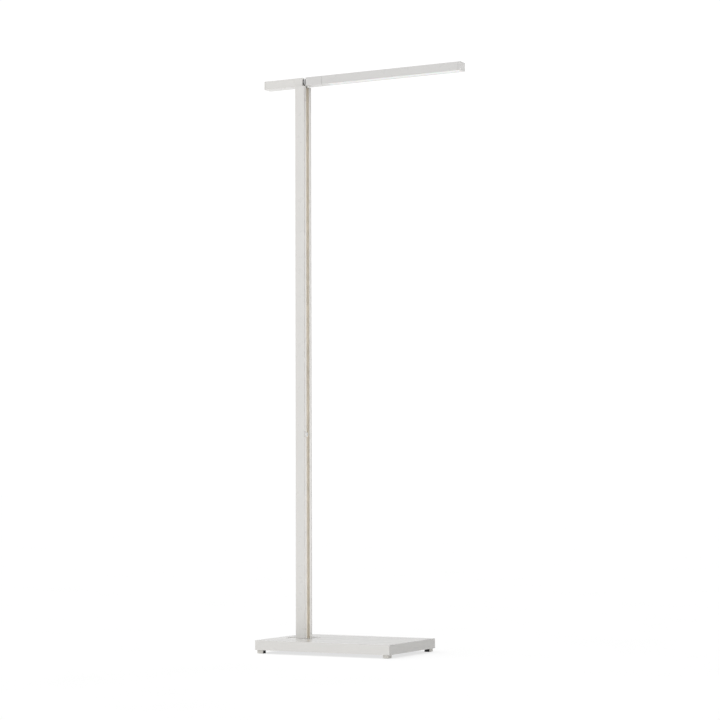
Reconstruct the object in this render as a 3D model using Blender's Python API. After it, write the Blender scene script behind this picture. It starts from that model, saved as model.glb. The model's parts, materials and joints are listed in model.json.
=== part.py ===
"""Adjustable arm floor lamp: slab base, grooved square post, and a level LED arm on a roll joint.

Units are metres and +Z is up.  The floor is z = 0, the level bar along the top runs along X with its
middle at x = 0, and the post stands off to -X.  Three things move: the post turns on the base about Z,
the arm rolls about the bar's own line along X, and the dimmer knob turns about X on the post's front lip.
"""
import math

import bmesh
import bpy
from mathutils import Matrix, Vector

# ---- Driving dimensions -------------------------------------------------------------------------
LAMP_HEIGHT = 1.200
GAP = 0.0003                       # clearance between pieces that touch
SEGMENTS = 40                      # sides of a round piece
WIDE_SEGMENTS = 64                 # sides of the swivel disc
SMALL_SEGMENTS = 20                # sides of a screw or a wire
NUT_SEGMENTS = 24
OVERSHOOT = 0.01                   # how far a cutter runs past the face that it opens

BAR_LENGTH = 0.460                 # stub end to arm tip
BAR_DEPTH = 0.0235                 # front to back
BAR_HEIGHT = 0.0176
STUB_REACH = 0.088                 # stub end to the post's axis

POST_WIDTH = 0.0215                # along X
POST_DEPTH = 0.031                 # along Y
GROOVE_WIDTH = 0.0138
GROOVE_DEPTH = 0.0065
DUCT_WIDTH = 0.0105                # wire duct along X
DUCT_DEPTH = 0.027                 # wire duct along Y
DUCT_WALL = 0.002                  # wall between the duct and the post's plain side

BASE_LENGTH = 0.310
BASE_DEPTH = 0.206
BASE_THICKNESS = 0.020
BASE_TO_POST = 0.057               # base's left end to the post's axis
SHELL_WALL = 0.0025
FOOT_HEIGHT = 0.007
FOOT_SIZE = 0.013
FOOT_INSET = 0.0035
FOOT_PAD_REACH = 0.0005            # how far a pad stands below its guard
GUARD_WALL = 0.002

DISC_RADIUS = 0.035                # round swivel disc at the post's foot
DISC_SINK = 0.0008                 # disc's top below the base's top
DISC_THICKNESS = 0.0034
DISC_CHAMFER = 0.0004

KNOB_HEIGHT = 0.4495               # knob's axis above the floor
KNOB_Y = -0.0110                   # and along Y, on the lip in front of the groove
KNOB_RADIUS = 0.0047
KNOB_REACH = 0.0044                # knob's end beyond the post's face
KNOB_BORE = 0.0028                 # depth of its bore for the shaft
KNOB_CHAMFER = 0.0006

# Roll joint, as distances along X from the post's axis
HEAD_END = 0.0046                  # end of the fixed head
ARM_START = 0.0126                 # start of the square arm, just clear of the post
SEAM = 0.0512                      # joint between the arm's end block and the LED housing
DIFFUSER_START = 0.064
CAP_START = 0.3673                 # start of the arm's end cap
SHAFT_RADIUS = 0.0040
SHAFT_BORE = 0.0024
SHAFT_LEFT = -0.030
SHAFT_RIGHT = 0.036
STUB_WALL = 0.0020

# ---- Places worked out from them ----------------------------------------------------------------
POST_X = -BAR_LENGTH / 2 + STUB_REACH
BAR_Z = LAMP_HEIGHT - BAR_HEIGHT / 2
BAR_BOTTOM = LAMP_HEIGHT - BAR_HEIGHT
BASE_X = POST_X - BASE_TO_POST + BASE_LENGTH / 2
BASE_BOTTOM = FOOT_HEIGHT
BASE_TOP = FOOT_HEIGHT + BASE_THICKNESS
DISC_TOP = BASE_TOP - DISC_SINK
DISC_BOTTOM = DISC_TOP - DISC_THICKNESS
POST_FOOT = DISC_TOP + GAP
POST_TOP = BAR_BOTTOM - GAP
ARM_TIP = BAR_LENGTH - STUB_REACH
GROOVE_FLOOR = POST_WIDTH / 2 - GROOVE_DEPTH
DUCT_X = -POST_WIDTH / 2 + DUCT_WALL + DUCT_WIDTH / 2

# Levels inside the base
PLATE_BOTTOM = BASE_BOTTOM + GAP
PLATE_TOP = PLATE_BOTTOM + 0.0015
BALLAST_BOTTOM = 0.012
BALLAST_TOP = DISC_BOTTOM - GAP
BASE_WIRE_Z = (PLATE_TOP + BALLAST_BOTTOM) / 2


# ---- Materials ----------------------------------------------------------------------------------
def make_material(name, colour, roughness, metallic=0.0):
    """A Principled BSDF material of one colour."""
    material = bpy.data.materials.new(name)
    material.use_nodes = True
    shader = material.node_tree.nodes["Principled BSDF"]
    shader.inputs["Base Color"].default_value = (*colour, 1.0)
    shader.inputs["Roughness"].default_value = roughness
    shader.inputs["Metallic"].default_value = metallic
    material.diffuse_color = (*colour, 1.0)
    return material


PAINT = ((0.66, 0.66, 0.64), 0.40, 0.0)
CHAMPAGNE = ((0.47, 0.40, 0.31), 0.38, 0.8)
STEEL = ((0.45, 0.45, 0.46), 0.35, 1.0)
CAST_STEEL = ((0.20, 0.20, 0.21), 0.60, 1.0)
POLISHED = ((0.80, 0.80, 0.80), 0.15, 1.0)
ALUMINIUM = ((0.70, 0.70, 0.71), 0.35, 1.0)
BRONZE = ((0.50, 0.33, 0.16), 0.40, 1.0)
BRASS = ((0.70, 0.52, 0.24), 0.30, 1.0)
RUBBER = ((0.02, 0.02, 0.02), 0.80, 0.0)
BLACK_PLASTIC = ((0.03, 0.03, 0.03), 0.50, 0.0)
BOARD = ((0.75, 0.76, 0.74), 0.50, 0.0)
PHOSPHOR = ((0.85, 0.70, 0.25), 0.60, 0.0)
OPAL = ((0.92, 0.91, 0.88), 0.45, 0.0)


# ---- Building blocks ----------------------------------------------------------------------------
def clear_scene():
    """Start from an empty scene."""
    for old in list(bpy.data.objects):
        bpy.data.objects.remove(old, do_unlink=True)


def add_pivot(name, location, parent=None):
    """An empty that stands on a joint's axis."""
    pivot = bpy.data.objects.new(name, None)
    pivot.empty_display_size = 0.02
    bpy.context.collection.objects.link(pivot)
    attach(pivot, location, parent)
    return pivot


def world_place(obj):
    """World position of an object whose parents are only moved, never turned."""
    place = obj.location.copy()
    while obj.parent:
        obj = obj.parent
        place += obj.location
    return place


def attach(obj, location, parent):
    """Put an object at a world position under a parent."""
    obj.parent = parent
    obj.location = Vector(location) - (world_place(parent) if parent else Vector())


def add_object(name, shape, location, finish, parent, smooth=False):
    """Turn a bmesh into a named object with a material of its own."""
    mesh = bpy.data.meshes.new(name)
    shape.to_mesh(mesh)
    shape.free()
    if smooth:
        mesh.shade_smooth()
        mesh.set_sharp_from_angle(angle=math.radians(35))
    mesh.materials.append(make_material(name, *finish))
    obj = bpy.data.objects.new(name, mesh)
    bpy.context.collection.objects.link(obj)
    attach(obj, location, parent)
    return obj


def box_shape(size, bevel=0.0, steps=1):
    """A box about its own middle, with its edges rounded by a bevel."""
    shape = bmesh.new()
    bmesh.ops.create_cube(shape, size=1.0)
    bmesh.ops.scale(shape, vec=Vector(size), verts=shape.verts)
    if bevel > 0.0:
        bmesh.ops.bevel(shape, geom=list(shape.edges), offset=bevel, segments=steps, profile=0.5,
                        affect="EDGES", clamp_overlap=True)
    return shape


def span_box(name, low, high, finish, parent=None, bevel=0.0, steps=1):
    """A box between two world corners."""
    low = Vector(low)
    high = Vector(high)
    shape = box_shape(high - low, bevel, steps)
    return add_object(name, shape, (low + high) / 2, finish, parent)


AXIS_TURN = {
    "X": Matrix.Rotation(math.radians(90), 4, "Y"),
    "Y": Matrix.Rotation(math.radians(-90), 4, "X"),
    "Z": Matrix.Identity(4),
}


def turned_shape(outline, axis, segments=SEGMENTS):
    """A turned piece: an outline of (radius, height) pairs swept once round an axis.

    An outline that starts and ends at radius 0 is left open there, any other is closed on itself.
    """
    shape = bmesh.new()
    ring = [shape.verts.new((radius, 0.0, height)) for radius, height in outline]
    solid_core = outline[0][0] == 0.0 and outline[-1][0] == 0.0
    edges = [shape.edges.new(pair) for pair in zip(ring, ring[1:])]
    if not solid_core:
        edges.append(shape.edges.new((ring[-1], ring[0])))
    bmesh.ops.spin(shape, geom=ring + edges, cent=(0, 0, 0), axis=(0, 0, 1), angle=2 * math.pi,
                   steps=segments)
    bmesh.ops.remove_doubles(shape, verts=shape.verts, dist=1e-6)
    bmesh.ops.recalc_face_normals(shape, faces=shape.faces)
    bmesh.ops.transform(shape, matrix=AXIS_TURN[axis], verts=shape.verts)
    return shape


def rod_outline(radius, low, high):
    """Outline of a solid rod, or of the cutter for a round hole."""
    return [(0.0, low), (radius, low), (radius, high), (0.0, high)]


def stepped_outline(sizes, low):
    """Outline of a solid piece made of stacked rods, each a (radius, length) pair."""
    outline = [(0.0, low)]
    for radius, length in sizes:
        outline.append((radius, low))
        low += length
        outline.append((radius, low))
    outline.append((0.0, low))
    return outline


def tube_outline(inner, outer, low, high, chamfer=0.0):
    """Outline of a tube, a washer or a collar."""
    if chamfer == 0.0:
        return [(inner, low), (outer, low), (outer, high), (inner, high)]
    return [(inner, low), (outer - chamfer, low), (outer, low + chamfer),
            (outer, high - chamfer), (outer - chamfer, high), (inner, high)]


def turned(name, outline, axis, location, finish, parent=None, segments=SEGMENTS):
    """A turned piece as an object."""
    return add_object(name, turned_shape(outline, axis, segments), location, finish, parent, smooth=True)


def subtract(target, shape, location):
    """Cut a shape out of an object with a Boolean."""
    cutter = add_object(target.name + "_cut", shape, location, RUBBER, None)
    cutter.hide_render = True
    cutter.display_type = "WIRE"
    cut = target.modifiers.new("Cut", "BOOLEAN")
    cut.operation = "DIFFERENCE"
    cut.solver = "EXACT"
    cut.object = cutter


def cut_box(target, low, high):
    """Cut a box between two world corners out of an object."""
    low = Vector(low)
    high = Vector(high)
    subtract(target, box_shape(high - low), (low + high) / 2)


def cut_hole(target, axis, location, radius, low, high, segments=SEGMENTS):
    """Cut a round hole from low to high along an axis through a place."""
    subtract(target, turned_shape(rod_outline(radius, low, high), axis, segments), location)


def along(distance, y=0.0, z=BAR_Z):
    """A place given by its distance along X from the post's axis."""
    return (POST_X + distance, y, z)


def wire(name, route, radius, finish, parent=None, steps=4):
    """A round wire through a smooth curve over its route's points."""
    points = []
    for index in range(len(route) - 1):
        before = Vector(route[max(index - 1, 0)])
        start = Vector(route[index])
        end = Vector(route[index + 1])
        after = Vector(route[min(index + 2, len(route) - 1)])
        for step in range(steps):
            t = step / steps
            points.append(0.5 * (2 * start + (end - before) * t
                                 + (2 * before - 5 * start + 4 * end - after) * t ** 2
                                 + (3 * start - before - 3 * end + after) * t ** 3))
    points.append(Vector(route[-1]))
    curve = bpy.data.curves.new(name, "CURVE")
    curve.dimensions = "3D"
    curve.bevel_depth = radius
    curve.bevel_resolution = 2
    curve.use_fill_caps = True
    spline = curve.splines.new("POLY")
    spline.points.add(len(points) - 1)
    origin = world_place(parent) if parent else Vector()
    for slot, point in zip(spline.points, points):
        slot.co = (*(point - origin), 1.0)
    curve.materials.append(make_material(name, *finish))
    obj = bpy.data.objects.new(name, curve)
    bpy.context.collection.objects.link(obj)
    attach(obj, origin, parent)
    return obj


def screw(name, axis, location, head_radius, head_height, shank_radius, shank_length, parent=None):
    """A cap screw whose head sits on the low side and whose shank points along the axis."""
    outline = stepped_outline([(head_radius, head_height), (shank_radius, shank_length)], 0.0)
    return turned(name, outline, axis, location, STEEL, parent, SMALL_SEGMENTS)


# ---- Base ---------------------------------------------------------------------------------------
COVER_SCREW_INSET = (0.030, 0.022)
COVER_SCREW_HOLE = 0.0021          # radius of its hole
COVER_SCREW_HEAD = 0.0016          # height of its head
BALLAST_MARGIN = 0.0025            # ballast's edge to the shell's wall
NOTCH = (0.045, 0.120)             # driver's space in the ballast, from the post's axis along X
NOTCH_Y = 0.055
DRIVER_LOW = (0.053, 0.058)        # driver's corners, from the post's axis
DRIVER_HIGH = (0.112, 0.084)
INLET_X = 0.082                    # power inlet, from the post's axis along X
INLET_Z = 0.0160
INLET_RADIUS = 0.0050
INLET_DEPTH = 0.0122
SOCKET_RADIUS = 0.0030
PIN_RADIUS = 0.0010
BEARING_RADIUS = 0.0195
BEARING_SPAN = (0.0148, 0.0215)    # bottom and top of the bearing
WASHER_RADIUS = 0.0180
SPINDLE_RADIUS = 0.0090
SPINDLE_BORE = 0.0060


def base_corners(inset_x, inset_y):
    """The four corners of the base, moved in, with the signs that point outwards."""
    for side_x, letter_x in ((-1, "left"), (1, "right")):
        for side_y, letter_y in ((-1, "front"), (1, "back")):
            x = BASE_X + side_x * (BASE_LENGTH / 2 - inset_x)
            y = side_y * (BASE_DEPTH / 2 - inset_y)
            yield x, y, side_x, side_y, letter_y + "_" + letter_x


def build_base_shell():
    """Sheet-metal tray, open below, with a round hole for the swivel disc."""
    shell = span_box("base_shell", (BASE_X - BASE_LENGTH / 2, -BASE_DEPTH / 2, BASE_BOTTOM),
                     (BASE_X + BASE_LENGTH / 2, BASE_DEPTH / 2, BASE_TOP), PAINT, None, 0.0007, 2)
    inner_x = BASE_LENGTH / 2 - SHELL_WALL
    inner_y = BASE_DEPTH / 2 - SHELL_WALL
    cut_box(shell, (BASE_X - inner_x, -inner_y, BASE_BOTTOM - OVERSHOOT),
            (BASE_X + inner_x, inner_y, BASE_TOP - SHELL_WALL))
    cut_hole(shell, "Z", (POST_X, 0, 0), DISC_RADIUS, BASE_TOP - OVERSHOOT, BASE_TOP + OVERSHOOT,
             WIDE_SEGMENTS)
    cut_hole(shell, "Y", (POST_X + INLET_X, 0, INLET_Z), INLET_RADIUS + GAP,
             BASE_DEPTH / 2 - OVERSHOOT, BASE_DEPTH / 2 + OVERSHOOT)


def build_ballast():
    """Steel plate that keeps the lamp upright."""
    half_x = BASE_LENGTH / 2 - SHELL_WALL - BALLAST_MARGIN
    half_y = BASE_DEPTH / 2 - SHELL_WALL - BALLAST_MARGIN
    ballast = span_box("base_ballast", (BASE_X - half_x, -half_y, BALLAST_BOTTOM),
                       (BASE_X + half_x, half_y, BALLAST_TOP), CAST_STEEL)
    cut_hole(ballast, "Z", (POST_X, 0, 0), BEARING_RADIUS + GAP, 0.0, BASE_TOP)
    cut_box(ballast, (POST_X + NOTCH[0], NOTCH_Y, 0.0), (POST_X + NOTCH[1], BASE_DEPTH, BASE_TOP))
    for x, y, _, _, _ in base_corners(*COVER_SCREW_INSET):
        cut_hole(ballast, "Z", (x, y, 0), COVER_SCREW_HOLE, 0.0, BALLAST_BOTTOM + 0.007, SMALL_SEGMENTS)


def build_floor_plate():
    """Thin plate that closes the base from below, with its four screws."""
    half_x = BASE_LENGTH / 2 - SHELL_WALL - GAP
    half_y = BASE_DEPTH / 2 - SHELL_WALL - GAP
    plate = span_box("base_floor_plate", (BASE_X - half_x, -half_y, PLATE_BOTTOM),
                     (BASE_X + half_x, half_y, PLATE_TOP), BLACK_PLASTIC)
    for x, y, _, _, where in base_corners(*COVER_SCREW_INSET):
        cut_hole(plate, "Z", (x, y, 0), COVER_SCREW_HOLE, 0.0, BASE_TOP, SMALL_SEGMENTS)
        screw("cover_screw_" + where, "Z", (x, y, PLATE_BOTTOM - GAP - COVER_SCREW_HEAD), 0.0034,
              COVER_SCREW_HEAD, 0.0018, 0.0085)


def build_feet():
    """Four square feet: a rubber block behind an angled guard on its two outer sides."""
    for x, y, side_x, side_y, where in base_corners(FOOT_INSET, FOOT_INSET):
        low = Vector((min(x, x - side_x * FOOT_SIZE), min(y, y - side_y * FOOT_SIZE), FOOT_PAD_REACH))
        high = Vector((max(x, x - side_x * FOOT_SIZE), max(y, y - side_y * FOOT_SIZE), FOOT_HEIGHT))
        guard = span_box("foot_guard_" + where, low, high, PAINT, None, 0.0003)
        inner_x = x - side_x * GUARD_WALL
        inner_y = y - side_y * GUARD_WALL
        far_x = x - side_x * 2 * FOOT_SIZE
        far_y = y - side_y * 2 * FOOT_SIZE
        cut_box(guard, (min(inner_x, far_x), min(inner_y, far_y), -OVERSHOOT),
                (max(inner_x, far_x), max(inner_y, far_y), FOOT_HEIGHT + OVERSHOOT))
        pad_x = (inner_x - side_x * GAP, x - side_x * FOOT_SIZE)
        pad_y = (inner_y - side_y * GAP, y - side_y * FOOT_SIZE)
        span_box("foot_pad_" + where, (min(pad_x), min(pad_y), 0.0), (max(pad_x), max(pad_y), FOOT_HEIGHT),
                 RUBBER, None, 0.0004)


def build_base_electrics():
    """LED driver, power inlet in the back wall, and the wire to the swivel."""
    span_box("driver_module", (POST_X + DRIVER_LOW[0], DRIVER_LOW[1], PLATE_TOP + GAP),
             (POST_X + DRIVER_HIGH[0], DRIVER_HIGH[1], BALLAST_TOP - 0.001), BLACK_PLASTIC, None, 0.0008)
    back = BASE_DEPTH / 2 - GAP
    front = back - INLET_DEPTH
    socket_floor = front + 0.003
    pin_end = back - 0.0012
    outline = [(0.0, front), (INLET_RADIUS, front), (INLET_RADIUS, back), (SOCKET_RADIUS, back),
               (SOCKET_RADIUS, socket_floor), (PIN_RADIUS, socket_floor), (PIN_RADIUS, pin_end),
               (0.0, pin_end)]
    turned("power_inlet", outline, "Y", (POST_X + INLET_X, 0, INLET_Z), BLACK_PLASTIC, None, SMALL_SEGMENTS)
    route = [(0.070, DRIVER_LOW[1] - 0.002), (0.055, 0.030), (0.030, 0.008), (-0.003, 0.0)]
    wire("base_wire", [(POST_X + x, y, BASE_WIRE_Z) for x, y in route], 0.0011, RUBBER)


def build_bearing():
    """Fixed bearing ring in the ballast and the slip washer above it."""
    turned("swivel_bearing", tube_outline(SPINDLE_RADIUS + GAP, BEARING_RADIUS, *BEARING_SPAN), "Z",
           (POST_X, 0, 0), BRONZE)
    washer = tube_outline(SPINDLE_RADIUS + GAP, WASHER_RADIUS, BEARING_SPAN[1] + GAP, DISC_BOTTOM - GAP)
    turned("swivel_washer", washer, "Z", (POST_X, 0, 0), BLACK_PLASTIC)


# ---- Post ---------------------------------------------------------------------------------------
WIRE_X = -0.0035                   # post wire in its duct
FOOT_SCREW_Y = 0.009
FOOT_SCREW_HEAD = (0.0028, 0.0019) # radius and height
FOOT_SCREW_SHANK = (0.0016, 0.014) # radius and length
FOOT_HOLE_DEPTH = 0.016            # its hole in the foot plug
SPINDLE_NUT_RADIUS = 0.0135
SPINDLE_NUT_TOP = 0.0145
SCREW_HOLE = 0.0019                # radius of the holes for the foot screws and the head screw
PLUG_LENGTH = 0.032
DIMMER_SPAN = (-0.0132, 0.0008)    # dimmer body's front and back
DIMMER_HALF_HEIGHT = 0.009
DIMMER_BACK = 0.0015               # from the duct's middle to the dimmer body's back
BUSHING_RADIUS = 0.0020
DIMMER_SHAFT_RADIUS = 0.0012
LINER_WALL = 0.0010
HEAD_SCREW = (-0.0062, 0.0070)     # from the post's axis along X, and along Y
HEAD_SCREW_HEAD = (0.0024, 0.0016) # radius and height
HEAD_WIRE = (-0.0065, -0.0080)


def build_swivel(post):
    """Disc flush in the base, with the hollow spindle and its nut below."""
    rim = tube_outline(SPINDLE_BORE, DISC_RADIUS - GAP, DISC_BOTTOM, DISC_TOP, DISC_CHAMFER)
    disc = turned("swivel_disc", rim, "Z", (POST_X, 0, 0), PAINT, post, WIDE_SEGMENTS)
    turned("swivel_spindle", tube_outline(SPINDLE_BORE, SPINDLE_RADIUS, BALLAST_BOTTOM, DISC_BOTTOM - GAP),
           "Z", (POST_X, 0, 0), STEEL, post)
    nut = tube_outline(SPINDLE_RADIUS + GAP, SPINDLE_NUT_RADIUS, BALLAST_BOTTOM, SPINDLE_NUT_TOP)
    turned("spindle_nut", nut, "Z", (POST_X, 0, 0), STEEL, post, NUT_SEGMENTS)
    head_radius, head_height = FOOT_SCREW_HEAD
    steps = [(head_radius + GAP, OVERSHOOT + head_height + GAP), (SCREW_HOLE, OVERSHOOT)]
    counterbore = stepped_outline(steps, DISC_BOTTOM - OVERSHOOT)
    for side, where in ((-1, "front"), (1, "back")):
        x = POST_X + DUCT_X
        y = side * FOOT_SCREW_Y
        subtract(disc, turned_shape(counterbore, "Z", SMALL_SEGMENTS), (x, y, 0))
        screw("foot_screw_" + where, "Z", (x, y, DISC_BOTTOM), head_radius, head_height,
              *FOOT_SCREW_SHANK, post)


def build_post(post):
    """Aluminium extrusion with the open groove on its arm side and a wire duct behind it."""
    low = (POST_X - POST_WIDTH / 2, -POST_DEPTH / 2, POST_FOOT)
    high = (POST_X + POST_WIDTH / 2, POST_DEPTH / 2, POST_TOP)
    extrusion = span_box("post_extrusion", low, high, PAINT, post, 0.0006, 2)
    cut_box(extrusion, (POST_X + GROOVE_FLOOR, -GROOVE_WIDTH / 2, 0.0),
            (POST_X + POST_WIDTH, GROOVE_WIDTH / 2, LAMP_HEIGHT))
    cut_box(extrusion, (POST_X + DUCT_X - DUCT_WIDTH / 2, -DUCT_DEPTH / 2, 0.0),
            (POST_X + DUCT_X + DUCT_WIDTH / 2, DUCT_DEPTH / 2, LAMP_HEIGHT))
    cut_hole(extrusion, "X", (POST_X, KNOB_Y, KNOB_HEIGHT), BUSHING_RADIUS + GAP, 0.0, POST_WIDTH)


def build_groove_liner(post):
    """Champagne-coloured channel that lines the groove."""
    half = GROOVE_WIDTH / 2 - GAP
    floor = GROOVE_FLOOR + GAP
    liner = span_box("groove_liner", (POST_X + floor, -half, POST_FOOT),
                     (POST_X + POST_WIDTH / 2 - GAP, half, POST_TOP - GAP), CHAMPAGNE, post)
    cut_box(liner, (POST_X + floor + LINER_WALL, -half + LINER_WALL, 0.0),
            (POST_X + POST_WIDTH, half - LINER_WALL, LAMP_HEIGHT))


def build_plugs(post):
    """Blocks in the duct that take the screws at the foot and at the head."""
    x_low = POST_X + DUCT_X - DUCT_WIDTH / 2 + GAP
    x_high = POST_X + DUCT_X + DUCT_WIDTH / 2 - GAP
    half = DUCT_DEPTH / 2 - GAP
    foot_top = POST_FOOT + PLUG_LENGTH
    foot = span_box("post_foot_plug", (x_low, -half, POST_FOOT), (x_high, half, foot_top), ALUMINIUM, post)
    cut_hole(foot, "Z", (POST_X + WIRE_X, 0, 0), 0.003, 0.0, foot_top + OVERSHOOT, SMALL_SEGMENTS)
    for side in (-1, 1):
        cut_hole(foot, "Z", (POST_X + DUCT_X, side * FOOT_SCREW_Y, 0), SCREW_HOLE, 0.0,
                 POST_FOOT + FOOT_HOLE_DEPTH, SMALL_SEGMENTS)
    head_bottom = POST_TOP - PLUG_LENGTH
    head = span_box("post_head_plug", (x_low, -half, head_bottom), (x_high, half, POST_TOP), ALUMINIUM, post)
    cut_hole(head, "Z", (POST_X + HEAD_WIRE[0], HEAD_WIRE[1], 0), 0.0020, head_bottom - OVERSHOOT,
             LAMP_HEIGHT, SMALL_SEGMENTS)
    screw_bottom = POST_TOP - 0.010
    cut_hole(head, "Z", (POST_X + HEAD_SCREW[0], HEAD_SCREW[1], 0), SCREW_HOLE, screw_bottom - 0.002,
             LAMP_HEIGHT, SMALL_SEGMENTS)
    seat = BAR_BOTTOM + STUB_WALL + GAP
    outline = stepped_outline([(FOOT_SCREW_SHANK[0], seat - screw_bottom), HEAD_SCREW_HEAD], screw_bottom)
    turned("head_screw", outline, "Z", (POST_X + HEAD_SCREW[0], HEAD_SCREW[1], 0), STEEL, post,
           SMALL_SEGMENTS)


def build_post_wire(post):
    """Wire from the spindle up the duct, round the shaft's nut and to the end of the hollow shaft."""
    x = POST_X + WIRE_X
    side = -0.0100
    head_x = POST_X + HEAD_WIRE[0]
    route = [(x, 0.0, BALLAST_BOTTOM + 0.0004), (x, 0.0, 0.040), (x, 0.0, 0.062), (x, side / 2, 0.085),
             (x, side, 0.110), (x, side, 0.160), (x, side, 0.600), (x, side, 1.060), (x, side, 1.110),
             (head_x, HEAD_WIRE[1], 1.145), (head_x, HEAD_WIRE[1], 1.165), (head_x, HEAD_WIRE[1], 1.183),
             (head_x - 0.001, HEAD_WIRE[1], BAR_Z - 0.003), (head_x - 0.006, HEAD_WIRE[1], BAR_Z),
             (head_x - 0.016, HEAD_WIRE[1], BAR_Z), (head_x - 0.028, -0.0068, BAR_Z),
             (head_x - 0.034, -0.0030, BAR_Z), (head_x - 0.031, -0.0002, BAR_Z),
             (POST_X + SHAFT_LEFT - 0.003, 0.0, BAR_Z)]
    wire("post_wire", route, 0.0012, RUBBER, post)


def build_dimmer_body(post):
    """Flat rotary dimmer in front of the wire, held by its long bushing through the solid front lip."""
    front, back = DIMMER_SPAN
    wall_start = DUCT_X + DUCT_WIDTH / 2
    span_box("dimmer_body", (POST_X + DUCT_X + DIMMER_BACK, front, KNOB_HEIGHT - DIMMER_HALF_HEIGHT),
             (POST_X + wall_start - GAP, back, KNOB_HEIGHT + DIMMER_HALF_HEIGHT), BLACK_PLASTIC, post,
             0.0005)
    bushing = tube_outline(DIMMER_SHAFT_RADIUS + GAP, BUSHING_RADIUS, wall_start, POST_WIDTH / 2)
    turned("dimmer_bushing", bushing, "X", (POST_X, KNOB_Y, KNOB_HEIGHT), BRASS, post, SMALL_SEGMENTS)


# ---- Head and stub ------------------------------------------------------------------------------
HEAD_WALL = 0.0080                 # solid end of the stub that carries the shaft
STUB_CAP = 0.0025
BEARING_BORE = 0.0075
WASHER_THICKNESS = 0.0014
HEAD_WASHER_RADIUS = 0.0083
SPRING_THICKNESS = 0.0021
SPRING_RADIUS = 0.0062


def build_stub(post):
    """Square tube fixed on top of the post, with a solid head at its arm end and a cap at the other."""
    left = -STUB_REACH
    half_y = BAR_DEPTH / 2
    stub = span_box("stub_housing", along(left + STUB_CAP + GAP, -half_y, BAR_BOTTOM),
                    along(HEAD_END, half_y, LAMP_HEIGHT), PAINT, post, 0.0004)
    cut_box(stub, along(left - OVERSHOOT, -half_y + STUB_WALL, BAR_BOTTOM + STUB_WALL),
            along(HEAD_END - HEAD_WALL, half_y - STUB_WALL, LAMP_HEIGHT - STUB_WALL))
    cut_hole(stub, "X", along(0), BEARING_BORE, HEAD_END - HEAD_WALL - OVERSHOOT, HEAD_END + OVERSHOOT)
    for (x, y), radius in ((HEAD_SCREW, SCREW_HOLE), (HEAD_WIRE, 0.0016)):
        cut_hole(stub, "Z", (POST_X + x, y, 0), radius, BAR_BOTTOM - OVERSHOOT,
                 BAR_BOTTOM + STUB_WALL + GAP, SMALL_SEGMENTS)
    span_box("stub_end_cap", along(left, -half_y, BAR_BOTTOM), along(left + STUB_CAP, half_y, LAMP_HEIGHT),
             PAINT, post, 0.0004)


def build_roll_bearing(post):
    """Bushing, outer slip washer and spring washer that hold the arm's shaft with friction."""
    inner = SHAFT_RADIUS + GAP
    head_start = HEAD_END - HEAD_WALL
    turned("head_bushing", tube_outline(inner, BEARING_BORE - GAP, head_start, HEAD_END - GAP), "X", along(0),
           BRONZE, post)
    washer_start = HEAD_END + GAP
    washer = tube_outline(inner, HEAD_WASHER_RADIUS, washer_start, washer_start + WASHER_THICKNESS)
    turned("head_washer", washer, "X", along(0), BLACK_PLASTIC, post)
    spring_end = head_start - GAP
    spring = tube_outline(inner, SPRING_RADIUS, spring_end - SPRING_THICKNESS, spring_end)
    turned("friction_spring", spring, "X", along(0), STEEL, post)


# ---- Arm ----------------------------------------------------------------------------------------
HOUSING_WALL = 0.0020
DIFFUSER_THICKNESS = 0.0020
DIFFUSER_SINK = 0.0003
BOARD_WIDTH = 0.0160
BOARD_Z = 0.0135                   # LED board above the bar's underside
STRIP_WIDTH = 0.006
STRIP_THICKNESS = 0.0010
COLLAR_RADIUS = 0.0088
COLLAR_THICKNESS = 0.0018
COLLAR_CHAMFER = 0.0003
SLEEVE_RADIUS = 0.0066
SHAFT_NUT_LENGTH = 0.0045
WIRE_HOLE = 0.0018                 # radius of the wire's hole through the arm's end block
GRUB_RADIUS = 0.0015
GRUB_SINK = 0.0010                 # grub screw's top below the arm's top


def build_roll_shaft(arm):
    """Hollow shaft with its nut in the stub, and the collar and sleeve between head and arm."""
    inner = SHAFT_RADIUS + GAP
    shaft = tube_outline(SHAFT_BORE, SHAFT_RADIUS, SHAFT_LEFT, SHAFT_RIGHT)
    turned("roll_shaft", shaft, "X", along(0), STEEL, arm)
    nut_end = HEAD_END - HEAD_WALL - SPRING_THICKNESS - 2 * GAP
    nut = tube_outline(inner, SPRING_RADIUS, nut_end - SHAFT_NUT_LENGTH, nut_end)
    turned("shaft_nut", nut, "X", along(0), STEEL, arm, NUT_SEGMENTS)
    collar_start = HEAD_END + WASHER_THICKNESS + 2 * GAP
    collar_end = collar_start + COLLAR_THICKNESS
    collar = tube_outline(inner, COLLAR_RADIUS, collar_start, collar_end, COLLAR_CHAMFER)
    turned("pivot_collar", collar, "X", along(0), POLISHED, arm)
    sleeve = tube_outline(inner, SLEEVE_RADIUS, collar_end + GAP, ARM_START - GAP)
    turned("pivot_sleeve", sleeve, "X", along(0), BLACK_PLASTIC, arm)


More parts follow.
